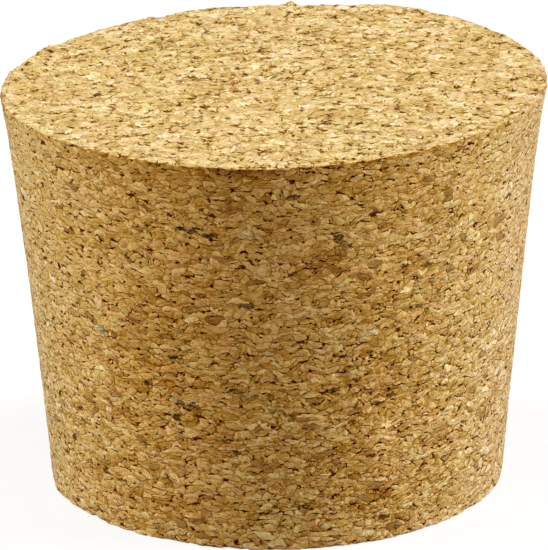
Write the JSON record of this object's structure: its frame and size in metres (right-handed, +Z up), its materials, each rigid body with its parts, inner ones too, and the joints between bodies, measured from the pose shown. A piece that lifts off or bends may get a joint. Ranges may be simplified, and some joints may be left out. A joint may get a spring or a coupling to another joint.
{
  "type": "cork stopper",
  "caption": "Tapered one-piece stopper of pressed cork granules. It plugs a round neck or hole by its narrow end, and stands on that end.",
  "frame": {"origin": "centre of the flat narrow end that it stands on", "axes": "+Z up the stopper towards the wide end, +X towards the highest point of the wide end"},
  "size_m": [0.0509, 0.051, 0.039],
  "materials": {
    "cork": "pressed cork granules, ground on the wall and cut on the ends, matt"
  },
  "bodies": {
    "root": {"stopper": "cork"}
  },
  "joints": []
}
